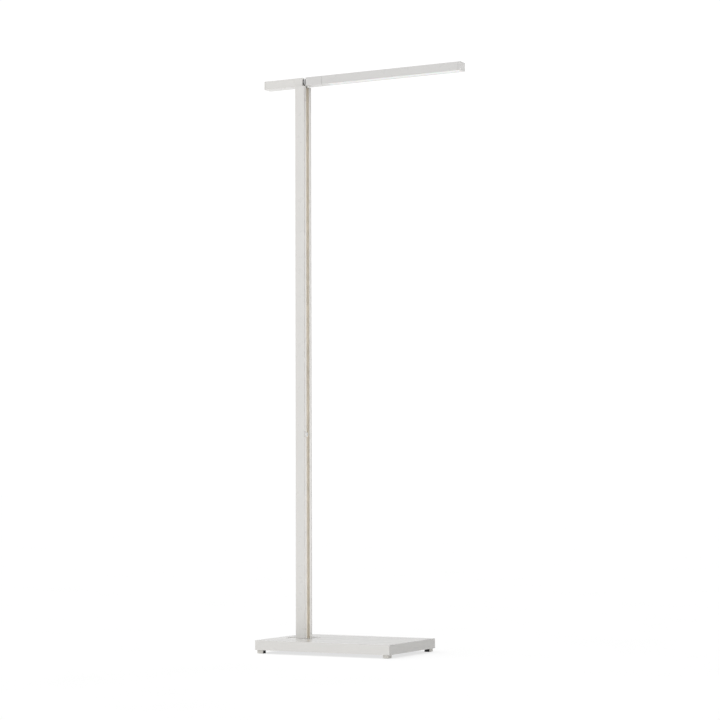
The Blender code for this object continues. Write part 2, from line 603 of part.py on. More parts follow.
def build_adapter(arm):
    """Solid end block that clamps on the shaft with one grub screw."""
    half_y = BAR_DEPTH / 2
    adapter = span_box("arm_adapter", along(ARM_START, -half_y, BAR_BOTTOM),
                       along(SEAM - GAP, half_y, LAMP_HEIGHT), PAINT, arm, 0.0004)
    cut_hole(adapter, "X", along(0), SHAFT_RADIUS + GAP, 0.0, SHAFT_RIGHT + GAP)
    cut_hole(adapter, "X", along(0), WIRE_HOLE, SHAFT_RIGHT - OVERSHOOT, SEAM + OVERSHOOT, SMALL_SEGMENTS)
    screw_x = POST_X + ARM_START + 0.012
    cut_hole(adapter, "Z", (screw_x, 0, 0), GRUB_RADIUS + GAP, BAR_Z, LAMP_HEIGHT + OVERSHOOT, SMALL_SEGMENTS)
    turned("grub_screw", rod_outline(GRUB_RADIUS, BAR_Z + SHAFT_RADIUS + GAP, LAMP_HEIGHT - GRUB_SINK), "Z",
           (screw_x, 0, 0), STEEL, arm, SMALL_SEGMENTS)


def build_housing(arm):
    """LED housing: a channel open below, closed at its near end, and its end cap."""
    half_y = BAR_DEPTH / 2
    housing = span_box("led_housing", along(SEAM, -half_y, BAR_BOTTOM),
                       along(CAP_START - GAP, half_y, LAMP_HEIGHT), PAINT, arm, 0.0004)
    cut_box(housing, along(DIFFUSER_START, -half_y + HOUSING_WALL, BAR_BOTTOM - OVERSHOOT),
            along(ARM_TIP, half_y - HOUSING_WALL, LAMP_HEIGHT - HOUSING_WALL))
    cut_hole(housing, "X", along(0), WIRE_HOLE, SEAM - OVERSHOOT, DIFFUSER_START + OVERSHOOT, SMALL_SEGMENTS)
    span_box("arm_end_cap", along(CAP_START, -half_y, BAR_BOTTOM), along(ARM_TIP, half_y, LAMP_HEIGHT), PAINT,
             arm, 0.0009, 2)


def build_light(arm):
    """LED board, its strip of emitters, the opal diffuser and the wire that feeds them."""
    start = DIFFUSER_START + 0.0004
    end = CAP_START - 0.0006
    board_low = BAR_BOTTOM + BOARD_Z
    board_high = LAMP_HEIGHT - HOUSING_WALL - GAP
    span_box("led_board", along(start + 0.004, -BOARD_WIDTH / 2, board_low),
             along(end - 0.002, BOARD_WIDTH / 2, board_high), BOARD, arm)
    span_box("led_strip", along(start + 0.006, -STRIP_WIDTH / 2, board_low - GAP - STRIP_THICKNESS),
             along(end - 0.004, STRIP_WIDTH / 2, board_low - GAP), PHOSPHOR, arm)
    half = BAR_DEPTH / 2 - HOUSING_WALL - GAP
    span_box("diffuser", along(start, -half, BAR_BOTTOM + DIFFUSER_SINK),
             along(end, half, BAR_BOTTOM + DIFFUSER_SINK + DIFFUSER_THICKNESS), OPAL, arm)
    wire("arm_wire", [along(SHAFT_LEFT + 0.001), along(0.0), along(SHAFT_RIGHT), along(SEAM),
                      along(start + 0.003)], 0.0012, RUBBER, arm, 2)


# ---- Dimmer knob --------------------------------------------------------------------------------
def build_knob(knob):
    """Round knob on the dimmer's shaft."""
    shaft_start = DUCT_X + DUCT_WIDTH / 2 + GAP
    knob_start = POST_WIDTH / 2 + GAP
    knob_end = POST_WIDTH / 2 + KNOB_REACH
    bore_end = knob_start + KNOB_BORE
    bore = DIMMER_SHAFT_RADIUS + GAP
    place = (POST_X, KNOB_Y, KNOB_HEIGHT)
    turned("dimmer_shaft", rod_outline(DIMMER_SHAFT_RADIUS, shaft_start, bore_end - GAP), "X", place, STEEL,
           knob, SMALL_SEGMENTS)
    outline = [(0.0, bore_end), (bore, bore_end), (bore, knob_start), (KNOB_RADIUS, knob_start),
               (KNOB_RADIUS, knob_end - KNOB_CHAMFER), (KNOB_RADIUS - KNOB_CHAMFER, knob_end),
               (0.0, knob_end)]
    turned("dimmer_knob", outline, "X", place, ALUMINIUM, knob)


def main():
    clear_scene()
    build_base_shell()
    build_ballast()
    build_floor_plate()
    build_feet()
    build_base_electrics()
    build_bearing()
    post = add_pivot("post_pivot", (POST_X, 0, BASE_TOP))
    build_swivel(post)
    build_post(post)
    build_groove_liner(post)
    build_plugs(post)
    build_post_wire(post)
    build_dimmer_body(post)
    build_stub(post)
    build_roll_bearing(post)
    arm = add_pivot("arm_pivot", along(0), post)
    build_roll_shaft(arm)
    build_adapter(arm)
    build_housing(arm)
    build_light(arm)
    knob = add_pivot("knob_pivot", (POST_X, KNOB_Y, KNOB_HEIGHT), post)
    build_knob(knob)


main()
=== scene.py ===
"""Looks of the adjustable arm floor lamp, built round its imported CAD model.

Units are metres and +Z is up, in the CAD model's own frame.  The level bar runs along X, the front of the
lamp faces -Y, and each piece takes its place and size from the CAD node that it stands for.
"""
import json
import math

import bmesh
import bpy
from mathutils import Matrix, Vector

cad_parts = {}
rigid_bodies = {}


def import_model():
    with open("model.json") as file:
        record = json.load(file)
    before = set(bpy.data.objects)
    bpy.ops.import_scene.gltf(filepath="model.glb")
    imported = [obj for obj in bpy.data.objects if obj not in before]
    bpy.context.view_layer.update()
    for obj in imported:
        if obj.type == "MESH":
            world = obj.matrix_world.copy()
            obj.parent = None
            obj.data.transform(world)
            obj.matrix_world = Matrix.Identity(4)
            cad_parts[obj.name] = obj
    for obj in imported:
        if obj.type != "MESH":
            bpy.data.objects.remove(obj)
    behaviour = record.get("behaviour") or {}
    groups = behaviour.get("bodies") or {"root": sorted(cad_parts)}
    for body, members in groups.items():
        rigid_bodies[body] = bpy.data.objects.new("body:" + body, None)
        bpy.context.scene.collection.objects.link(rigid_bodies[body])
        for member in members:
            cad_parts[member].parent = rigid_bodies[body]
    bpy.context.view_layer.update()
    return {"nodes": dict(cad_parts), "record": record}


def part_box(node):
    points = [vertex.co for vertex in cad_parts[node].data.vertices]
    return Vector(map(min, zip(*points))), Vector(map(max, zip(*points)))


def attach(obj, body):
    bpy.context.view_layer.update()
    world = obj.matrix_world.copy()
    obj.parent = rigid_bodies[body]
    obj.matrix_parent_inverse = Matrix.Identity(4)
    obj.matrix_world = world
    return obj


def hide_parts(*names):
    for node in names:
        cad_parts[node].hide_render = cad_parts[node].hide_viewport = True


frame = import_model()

MM = 0.001
MICRON = 0.000001
GAP = 0.3 * MM                # clearance between two pieces that touch
OVERSHOOT = 10 * MM           # how far a cutter runs past the face that it opens
SHORT_OVERSHOOT = 2 * MM      # the same for a small cutter

# ---- Camera and light ---------------------------------------------------------------------------
CAMERA_PLACE = (2.0597, -3.8781, 0.3503)
CAMERA_TURN = 28.064          # degrees to the right of the lamp's front
CAMERA_TILT = 3.273           # degrees up
CAMERA_ROLL = -0.178          # degrees
CAMERA_LENS = 106.57          # millimetres
CAMERA_SENSOR = 36            # millimetres wide
CAMERA_RANGE = 200            # metres

TENT_LEVEL = 0.90             # radiance of the white tent round the lamp
# Soft changes of the tent's radiance: an axis, where along it the change is complete, and the change.
TENT_LOBES = (
    ("X", 0.7, -0.9),
    ("X", -1.0, 0.35),
    ("Y", 1.0, -0.35),
    ("Z", 1.0, 0.4),
)
BACKGROUND_WHITE = 1.05       # radiance of the tent as the camera sees it
FLOOR_RADIUS = 60.0
FLOOR_GREY = 0.30             # the floor's own colour, and how far it varies
FLOOR_CLOUD = 0.02
FLOOR_GLOW = 0.72             # strength of the floor's own light
FILL_POWER = 1.6              # watts a square metre
FILL_SPREAD = 30              # degrees across the fill
FILL_HEIGHT = 15              # degrees that its middle stands above the horizon
# Beginnings of the names of the pieces that the fill lights: the post and the bar.
FILLED_PIECES = ("post_profile", "liner_channel", "stub_", "slip_washer", "collar_ring", "sleeve_ring",
                 "end_block", "light_housing", "end_plate", "knurled_knob")


# ---- Mesh building blocks -----------------------------------------------------------------------
def box_shape(low, high):
    """A plain box between two corners, to be carved, rounded or used as a cutter."""
    low = Vector(low)
    high = Vector(high)
    shape = bmesh.new()
    bmesh.ops.create_cube(shape, size=1.0)
    bmesh.ops.scale(shape, vec=high - low, verts=shape.verts)
    bmesh.ops.translate(shape, vec=(low + high) / 2, verts=shape.verts)
    return shape


def rounded(points, radii, steps):
    """A closed outline with each corner rounded by an arc of that many steps.

    The radii go with the points in turn.  A radius of 0 keeps a corner sharp.
    A list of one radius serves all the points.
    """
    outline = []
    count = len(points)
    for index, point in enumerate(points):
        radius = radii[index % len(radii)]
        here = Vector(point)
        if radius == 0.0:
            outline.append(tuple(here))
            continue
        back = (Vector(points[index - 1]) - here).normalized()
        ahead = (Vector(points[(index + 1) % count]) - here).normalized()
        half = back.angle(ahead) / 2
        reach = radius / math.tan(half)
        middle = here + (back + ahead).normalized() * (radius / math.sin(half))
        start = here + back * reach - middle
        end = here + ahead * reach - middle
        sweep = start.angle(end)
        for step in range(steps + 1):
            share = step / steps
            swing = start * math.sin((1 - share) * sweep) + end * math.sin(share * sweep)
            outline.append(tuple(middle + swing / math.sin(sweep)))
    return outline


def prism_shape(outline, axis, start, end):
    """An outline of (x, y) pairs swept along Z, or of (y, z) pairs swept along X."""
    shape = bmesh.new()
    rings = []
    for place in (start, end):
        if axis == "Z":
            ring = [shape.verts.new((u, v, place)) for u, v in outline]
        else:
            ring = [shape.verts.new((place, u, v)) for u, v in outline]
        rings.append(ring)
    count = len(outline)
    for index in range(count):
        following = (index + 1) % count
        shape.faces.new((rings[0][index], rings[0][following], rings[1][following], rings[1][index]))
    shape.faces.new(reversed(rings[0]))
    shape.faces.new(rings[1])
    bmesh.ops.recalc_face_normals(shape, faces=shape.faces)
    return shape


# The turn that lays a piece's own Z axis along each axis.
TURNS = {
    "X": Matrix.Rotation(math.radians(90), 4, "Y"),
    "Y": Matrix.Rotation(math.radians(-90), 4, "X"),
    "Z": Matrix.Identity(4),
}


def bridge(shape, first, second):
    """Join two rings of vertices with faces.  A ring of one vertex is a point on the axis."""
    count = max(len(first), len(second))
    for index in range(count):
        following = (index + 1) % count
        if len(first) == 1:
            shape.faces.new((first[0], second[index], second[following]))
        elif len(second) == 1:
            shape.faces.new((first[index], first[following], second[0]))
        else:
            shape.faces.new((first[index], first[following], second[following], second[index]))


def turned_shape(outline, axis, centre, segments=96):
    """An outline of (radius, height) pairs turned round an axis through a centre.

    Heights are measured along the axis from the centre.  Points at radius 0 close the piece there.
    """
    shape = bmesh.new()
    rings = []
    for radius, height in outline:
        if radius == 0.0:
            rings.append([shape.verts.new((0.0, 0.0, height))])
            continue
        ring = []
        for index in range(segments):
            angle = 2 * math.pi * index / segments
            ring.append(shape.verts.new((radius * math.cos(angle), radius * math.sin(angle), height)))
        rings.append(ring)
    pairs = list(zip(rings, rings[1:]))
    if len(rings[0]) > 1:
        pairs.append((rings[-1], rings[0]))
    for first, second in pairs:
        bridge(shape, first, second)
    bmesh.ops.recalc_face_normals(shape, faces=shape.faces)
    matrix = Matrix.Translation(Vector(centre)) @ TURNS[axis]
    bmesh.ops.transform(shape, matrix=matrix, verts=shape.verts)
    return shape


def drill(radius, start, end, axis, centre, segments):
    """A plain round cutter along an axis through a centre."""
    return turned_shape([(0.0, start), (radius, start), (radius, end), (0.0, end)], axis, centre, segments)


def tube(inner, outer, low, high, radius):
    """Outline of a ring with all its edges rounded."""
    points = [(inner, low), (outer, low), (outer, high), (inner, high)]
    return rounded(points, [radius], 4)


def rod(outer, low, high, radius):
    """Outline of a solid round piece with its two edges rounded."""
    points = [(0.0, low), (outer, low), (outer, high), (0.0, high)]
    return rounded(points, [0.0, radius, radius, 0.0], 4)


def mesh_object(name, shape):
    """Turn a bmesh into an object that sits at the origin."""
    mesh = bpy.data.meshes.new(name)
    shape.to_mesh(mesh)
    shape.free()
    piece = bpy.data.objects.new(name, mesh)
    bpy.context.scene.collection.objects.link(piece)
    return piece


def carve(piece, *shapes):
    """Cut shapes out of a piece and keep the result as its mesh."""
    cutters = [mesh_object(piece.name + "_cutter", shape) for shape in shapes]
    for cutter in cutters:
        cut = piece.modifiers.new("Cut", "BOOLEAN")
        cut.operation = "DIFFERENCE"
        cut.solver = "EXACT"
        cut.object = cutter
    evaluated = piece.evaluated_get(bpy.context.evaluated_depsgraph_get())
    carved = bpy.data.meshes.new_from_object(evaluated)
    piece.modifiers.clear()
    piece.data = carved
    for cutter in cutters:
        bpy.data.objects.remove(cutter)


def soften(piece, radius, steps):
    """Round a piece's hard edges and keep its flat faces looking flat."""
    piece.data.shade_smooth()
    bevel = piece.modifiers.new("Edges", "BEVEL")
    bevel.width = radius
    bevel.segments = steps
    bevel.limit_method = "ANGLE"
    bevel.angle_limit = math.radians(40)
    bevel.use_clamp_overlap = True
    normals = piece.modifiers.new("Normals", "WEIGHTED_NORMAL")
    normals.weight = 80


def polish(piece, angle=35):
    """Smooth a turned piece and keep its sharp edges."""
    piece.data.shade_smooth()
    piece.data.set_sharp_from_angle(angle=math.radians(angle))


def finish_piece(piece, node, material):
    """Give a piece its material and let it stand for its CAD node."""
    piece.data.materials.clear()
    piece.data.materials.append(material)
    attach(piece, NODE_BODY[node])
    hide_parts(node)


NODE_BODY = {}
for body_name, members in frame["record"]["behaviour"]["bodies"].items():
    for member in members:
        NODE_BODY[member] = body_name
NODE_SLOT = {part["node"]: part["material_slot"] for part in frame["record"]["subparts"]}


# ---- Material building blocks -------------------------------------------------------------------
CLOUD_LOW = 0.3               # most of the noise's values lie between these two
CLOUD_HIGH = 0.7


class Nodes:
    """A material under construction, with short ways to add and link its shader nodes."""

    def __init__(self, name):
        self.material = bpy.data.materials.new(name)
        self.material.use_nodes = True
        self.tree = self.material.node_tree
        self.shader = self.tree.nodes["Principled BSDF"]
        self.place = self.tree.nodes.new("ShaderNodeTexCoord").outputs["Object"]

    def add(self, kind):
        return self.tree.nodes.new(kind)

    def link(self, source, target):
        self.tree.links.new(source, target)

    def stretched(self, scale):
        """Object coordinates multiplied by a scale for each axis."""
        mapping = self.add("ShaderNodeMapping")
        mapping.inputs["Scale"].default_value = scale
        self.link(self.place, mapping.inputs["Vector"])
        return mapping.outputs["Vector"]

    def noise(self, scale, detail=3.0, rough=0.5, stretch=(1, 1, 1)):
        """Noise with a size given by its number of bumps in a metre."""
        noise = self.add("ShaderNodeTexNoise")
        noise.inputs["Scale"].default_value = scale
        noise.inputs["Detail"].default_value = detail
        noise.inputs["Roughness"].default_value = rough
        self.link(self.stretched(stretch), noise.inputs["Vector"])
        return noise.outputs["Fac"]

    def between(self, factor, low, high):
        """A value that runs from low to high with a factor."""
        spread = self.add("ShaderNodeMapRange")
        spread.inputs["From Min"].default_value = CLOUD_LOW
        spread.inputs["From Max"].default_value = CLOUD_HIGH
        spread.inputs["To Min"].default_value = low
        spread.inputs["To Max"].default_value = high
        self.link(factor, spread.inputs["Value"])
        return spread.outputs["Result"]

    def blend(self, factor, first, second):
        """A colour that runs from first to second with a factor."""
        ramp = self.add("ShaderNodeValToRGB")
        ramp.color_ramp.elements[0].position = CLOUD_LOW
        ramp.color_ramp.elements[1].position = CLOUD_HIGH
        ramp.color_ramp.elements[0].color = (*first, 1)
        ramp.color_ramp.elements[1].color = (*second, 1)
        self.link(factor, ramp.inputs["Fac"])
        return ramp.outputs["Color"]

    def bump(self, height, distance):
        """A bump whose full height is a distance in metres."""
        bump = self.add("ShaderNodeBump")
        bump.inputs["Strength"].default_value = 1.0
        bump.inputs["Distance"].default_value = distance
        self.link(height, bump.inputs["Height"])
        return bump.outputs["Normal"]

    def set(self, **values):
        """Values that are the same all over the surface."""
        for key, value in values.items():
            self.shader.inputs[key.replace("_", " ")].default_value = value

    def drive(self, colour=None, roughness=None, normal=None):
        """Shader sockets that follow a pattern of nodes."""
        for socket, source in (("Base Color", colour), ("Roughness", roughness), ("Normal", normal)):
            if source is not None:
                self.link(source, self.shader.inputs[socket])


def shade(colour, factor):
    """A colour made darker or lighter by a factor."""
    return tuple(channel * factor for channel in colour)


def satin_paint(name, colour, rough_low, rough_high, peel=6 * MICRON):
    """Powder coat: a fine orange peel, slightly uneven gloss and a trace of tone."""
    nodes = Nodes(name)
    tone = nodes.noise(14, 2.0)
    gloss = nodes.noise(60, 3.0)
    grain = nodes.noise(450, 1.0, 0.4)
    nodes.drive(colour=nodes.blend(tone, shade(colour, 0.985), shade(colour, 1.01)),
                roughness=nodes.between(gloss, rough_low, rough_high),
                normal=nodes.bump(grain, peel))
    nodes.set(IOR=1.5)
    return nodes.material


def drawn_metal(name, colour, roughness, stretch, lines=900, depth=10 * MICRON, metallic=1.0):
    """Metal with a fine grain.  An axis with a small stretch has its grain drawn out into lines along it."""
    nodes = Nodes(name)
    grain = nodes.noise(lines, 4.0, 0.65, stretch)
    tone = nodes.noise(40, 2.0)
    nodes.drive(colour=nodes.blend(tone, shade(colour, 0.93), shade(colour, 1.05)),
                roughness=nodes.between(grain, roughness * 0.8, roughness * 1.2),
                normal=nodes.bump(grain, depth))
    nodes.set(Metallic=metallic)
    return nodes.material


def moulded(name, colour, rough_low, rough_high, grain_count=2200, depth=20 * MICRON):
    """Moulded plastic or rubber with a fine spark-eroded grain."""
    nodes = Nodes(name)
    tone = nodes.noise(90, 3.0)
    grain = nodes.noise(grain_count, 3.0, 0.7)
    nodes.drive(colour=nodes.blend(tone, shade(colour, 0.85), shade(colour, 1.15)),
                roughness=nodes.between(grain, rough_low, rough_high),
                normal=nodes.bump(grain, depth))
    return nodes.material


def opal_plastic():
    """Opal diffuser: white, soft, with very fine lengthwise ribs."""
    nodes = Nodes("opal_diffuser")
    ribs = nodes.add("ShaderNodeTexWave")
    ribs.bands_direction = "Y"
    ribs.inputs["Scale"].default_value = 400
    ribs.inputs["Distortion"].default_value = 0.0
    nodes.link(nodes.place, ribs.inputs["Vector"])
    cloud = nodes.noise(120, 2.0)
    nodes.drive(colour=nodes.blend(cloud, (0.86, 0.86, 0.84), (0.90, 0.90, 0.885)),
                roughness=nodes.between(cloud, 0.38, 0.46),
                normal=nodes.bump(ribs.outputs["Fac"], 10 * MICRON))
    nodes.set(Subsurface_Weight=0.25, Subsurface_Scale=2 * MM, IOR=1.49)
    return nodes.material


def led_phosphor():
    """Row of square emitters under yellow phosphor."""
    nodes = Nodes("led_phosphor")
    rows = nodes.add("ShaderNodeTexWave")
    rows.bands_direction = "X"
    rows.inputs["Scale"].default_value = 30
    nodes.link(nodes.place, rows.inputs["Vector"])
    nodes.drive(colour=nodes.blend(rows.outputs["Fac"], (0.85, 0.86, 0.84), (0.90, 0.72, 0.22)),
                roughness=nodes.between(nodes.noise(800, 2.0), 0.45, 0.6))
    return nodes.material


# Paints: name, colour, lowest and highest roughness, depth of the orange peel.
PAINT_COLOUR = (0.735, 0.723, 0.70)
PAINT = satin_paint("white_powder_coat", PAINT_COLOUR, 0.26, 0.34)
BASE_PAINT = satin_paint("white_base_coat", PAINT_COLOUR, 0.12, 0.18, 3 * MICRON)
# The bar wears the same white paint as the post; this darker copy is painted shade, standing for the lower
# light on the bar.
BAR_COAT_PAINTED_SHADE = satin_paint("white_arm_coat", (0.67, 0.662, 0.65), 0.26, 0.34)
# The guards wear the base's white paint; this darker, warmer copy is painted shade for the dimmer light near
# the floor.
GUARD_COAT_PAINTED_SHADE = satin_paint("white_guard_coat", (0.64, 0.625, 0.585), 0.30, 0.40)

# Metals: name, colour, roughness, stretch of the grain on each axis, grains in a metre, depth, metallic.
CHAMPAGNE = drawn_metal("champagne_anodising", (0.77, 0.72, 0.635), 0.34, (1, 1, 0.02), 1400, 6 * MICRON,
                        0.4)
POLISHED = drawn_metal("polished_collar", (0.82, 0.82, 0.82), 0.10, (1, 1, 1), 500, 2 * MICRON)
STEEL = drawn_metal("zinc_plated_steel", (0.56, 0.56, 0.57), 0.32, (1, 1, 1), 700)
CAST = drawn_metal("ballast_plate", (0.22, 0.22, 0.23), 0.6, (0.1, 1, 1), 500, 30 * MICRON)
ALUMINIUM = drawn_metal("machined_aluminium", (0.74, 0.74, 0.75), 0.35, (1, 1, 0.1), 900)
KNOB_METAL = drawn_metal("knob_aluminium", (0.74, 0.73, 0.71), 0.35, (1, 1, 0.1), 900, 4 * MICRON, 0.45)
BRASS = drawn_metal("machined_brass", (0.66, 0.48, 0.22), 0.3, (1, 1, 1), 900)

# Plastics and rubber: name, colour, lowest and highest roughness, grains in a metre, their depth.
RUBBER = moulded("black_rubber", (0.022, 0.022, 0.022), 0.72, 0.9)
PLASTIC = moulded("black_plastic", (0.03, 0.03, 0.032), 0.42, 0.58)
BOARD = moulded("solder_mask", (0.80, 0.82, 0.79), 0.35, 0.5, 1500, 10 * MICRON)

PHOSPHOR = led_phosphor()
OPAL = opal_plastic()

SLOT_MATERIALS = {
    "paint": PAINT,
    "champagne": CHAMPAGNE,
    "ballast_steel": CAST,
    "steel": STEEL,
    "polished": POLISHED,
    "raw_aluminium": ALUMINIUM,
    "bushing_metal": BRASS,
    "black_rubber": RUBBER,
    "black_plastic": PLASTIC,
    "board": BOARD,
    "phosphor": PHOSPHOR,
    "opal": OPAL,
}


def dress_cad_nodes():
    """Give every CAD node its material, hidden ones too."""
    for name, node in frame["nodes"].items():
        node.data.materials.clear()
        node.data.materials.append(SLOT_MATERIALS[NODE_SLOT[name]])


# ---- Base ---------------------------------------------------------------------------------------
SHELL_WALL = 2.5 * MM
GUARD_WALL = 2 * MM
GUARD_OPEN = 30 * MM          # reach of the cutter that leaves a guard's two outer walls
SLIT = 0.5 * MM               # height and depth of the slits in a rubber pad
SLIT_LEVELS = (0.35, 0.6)     # shares of a pad's height
CORNERS = ("front_left", "front_right", "back_left", "back_right")
DISC_BORE = 6 * MM
SCREW_HEAD = 1.6 * MM         # height of a cover screw's head
SCREW_SHANK = 1.8 * MM
SCREW_SOCKET = 1.15 * MM      # radius of its hexagon socket
SCREW_SOCKET_DEPTH = 1.1 * MM
THREAD_PITCH = 0.7 * MM
THREAD_DEPTH = 0.3 * MM
INLET_RIM = 3.4 * MM          # radius inside the rim of the power inlet
INLET_DEPTH = 9 * MM
INLET_PIN = 1.0 * MM          # radius of its centre pin
INLET_EDGE = 0.4 * MM
PIN_SUNK = 1.2 * MM           # how far the pin's tip lies below the rim


def node_axis(node, axis):
    """Where a node's own axis, which is parallel to the named one, crosses the plane through the origin."""
    low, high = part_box(node)
    centre = (low + high) / 2
    centre["XYZ".index(axis)] = 0.0
    return centre


def build_base_shell():
    """Painted tray with a round opening for the disc and one for the power inlet."""
    low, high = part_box("base_shell")
    disc_low, disc_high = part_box("swivel_disc")
    disc_centre = node_axis("swivel_disc", "Z")
    disc_radius = (disc_high.x - disc_low.x) / 2
    inlet_low, inlet_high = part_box("power_inlet")
    inlet_centre = node_axis("power_inlet", "Y")
    inlet_radius = (inlet_high.x - inlet_low.x) / 2
    shell = mesh_object("base_tray", box_shape(low, high))
    inside = box_shape((low.x + SHELL_WALL, low.y + SHELL_WALL, low.z - OVERSHOOT),
                       (high.x - SHELL_WALL, high.y - SHELL_WALL, high.z - SHELL_WALL))
    round_hole = drill(disc_radius + GAP, high.z - OVERSHOOT, high.z + OVERSHOOT, "Z", disc_centre, 144)
    inlet_hole = drill(inlet_radius + GAP, high.y - OVERSHOOT, high.y + OVERSHOOT, "Y", inlet_centre, 48)
    carve(shell, inside, round_hole, inlet_hole)
    soften(shell, 0.6 * MM, 4)
    finish_piece(shell, "base_shell", BASE_PAINT)


def build_disc():
    """Swivel disc with a rounded rim, sunk a little below the top."""
    low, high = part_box("swivel_disc")
    radius = (high.x - low.x) / 2
    outline = tube(DISC_BORE, radius, low.z, high.z, 0.45 * MM)
    disc = mesh_object("turning_disc", turned_shape(outline, "Z", node_axis("swivel_disc", "Z"), 144))
    polish(disc)
    finish_piece(disc, "swivel_disc", BASE_PAINT)


def build_feet():
    """Angled guards and slit rubber pads at the four corners."""
    base_low, base_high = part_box("base_shell")
    middle = (base_low + base_high) / 2
    for where in CORNERS:
        low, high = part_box("foot_guard_" + where)
        side_x = 1 if (low.x + high.x) / 2 > middle.x else -1
        side_y = 1 if (low.y + high.y) / 2 > middle.y else -1
        build_guard(where, side_x, side_y)
        build_pad(where, side_x)


def build_guard(where, side_x, side_y):
    """One guard: two walls, on the outer sides of its corner."""
    low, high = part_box("foot_guard_" + where)
    guard = mesh_object("guard_" + where, box_shape(low, high))
    inner_x = (high.x if side_x > 0 else low.x) - side_x * GUARD_WALL
    inner_y = (high.y if side_y > 0 else low.y) - side_y * GUARD_WALL
    far_x = inner_x - side_x * GUARD_OPEN
    far_y = inner_y - side_y * GUARD_OPEN
    carve(guard, box_shape((min(inner_x, far_x), min(inner_y, far_y), low.z - OVERSHOOT),
                           (max(inner_x, far_x), max(inner_y, far_y), high.z + OVERSHOOT)))
    soften(guard, 0.35 * MM, 3)
    # Its paint is darkened as painted shade.
    finish_piece(guard, "foot_guard_" + where, GUARD_COAT_PAINTED_SHADE)


def build_pad(where, side_x):
    """One rubber pad, with slits across the side that faces the middle of the base."""
    low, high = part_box("foot_pad_" + where)
    pad = mesh_object("pad_" + where, box_shape(low, high))
    if side_x > 0:
        start = low.x - OVERSHOOT
        end = low.x + SLIT
    else:
        start = high.x - SLIT
        end = high.x + OVERSHOOT
    slits = []
    for level in SLIT_LEVELS:
        z = low.z + level * (high.z - low.z)
        slits.append(box_shape((start, low.y - OVERSHOOT, z), (end, high.y + OVERSHOOT, z + SLIT)))
    carve(pad, *slits)
    soften(pad, 0.2 * MM, 2)
    finish_piece(pad, "foot_pad_" + where, RUBBER)


def build_cover_screws():
    """Button-head screws with a hexagon socket, seen from below."""
    for where in CORNERS:
        node = "cover_screw_" + where
        low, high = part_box(node)
        centre = node_axis(node, "Z")
        head = (high.x - low.x) / 2
        outline = [(0.0, low.z), (head * 0.62, low.z), (head * 0.88, low.z + 0.35 * MM),
                   (head, low.z + 0.9 * MM), (head, low.z + SCREW_HEAD), (SCREW_SHANK, low.z + SCREW_HEAD)]
        level = low.z + SCREW_HEAD + 0.8 * MM
        while level + THREAD_PITCH < high.z - 0.5 * MM:
            outline.append((SCREW_SHANK, level))
            outline.append((SCREW_SHANK - THREAD_DEPTH, level + THREAD_PITCH / 2))
            level += THREAD_PITCH
        outline.append((SCREW_SHANK - THREAD_DEPTH, high.z))
        outline.append((0.0, high.z))
        screw = mesh_object("screw_" + where, turned_shape(outline, "Z", centre, 48))
        socket_floor = low.z + SCREW_SOCKET_DEPTH
        carve(screw, drill(SCREW_SOCKET, low.z - SHORT_OVERSHOOT, socket_floor, "Z", centre, 6))
        polish(screw, 25)
        finish_piece(screw, node, STEEL)


def build_inlet():
    """Round low-voltage inlet with a rim and a centre pin."""
    low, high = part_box("power_inlet")
    radius = (high.x - low.x) / 2
    bottom = high.y - INLET_DEPTH
    tip = high.y - PIN_SUNK
    inside = INLET_RIM - INLET_EDGE
    outline = [(0.0, low.y), (radius, low.y), (radius, high.y - INLET_EDGE), (radius - INLET_EDGE, high.y),
               (INLET_RIM, high.y), (inside, high.y - INLET_EDGE), (inside, bottom), (INLET_PIN, bottom),
               (INLET_PIN, tip - 0.5 * MM), (INLET_PIN - 0.3 * MM, tip), (0.0, tip)]
    inlet = mesh_object("inlet_socket", turned_shape(outline, "Y", node_axis("power_inlet", "Y"), 48))
    polish(inlet, 30)
    finish_piece(inlet, "power_inlet", PLASTIC)


# ---- Post ---------------------------------------------------------------------------------------
POST_CORNER = 0.6 * MM        # radius of the post's corners, which are sharper beside the lips
POST_SHARPER = 0.7
LIP_EDGE = 0.25 * MM
HAIRLINE = 1.4 * MM           # width of the joint line along each lip
HAIRLINE_DEPTH = 2.0 * MM
HAIRLINE_EDGE = 0.8 * MM      # from the joint line to the post's side
DUCT_WALL = 2 * MM
GROOVE_WALL = 1.75 * MM       # between the groove and the wire duct
BUSHING_REACH = 1 * MM        # how far the bushing's hole runs past its inner end
LINER_WALL = 1 * MM
LINER_BEAD = 0.35 * MM


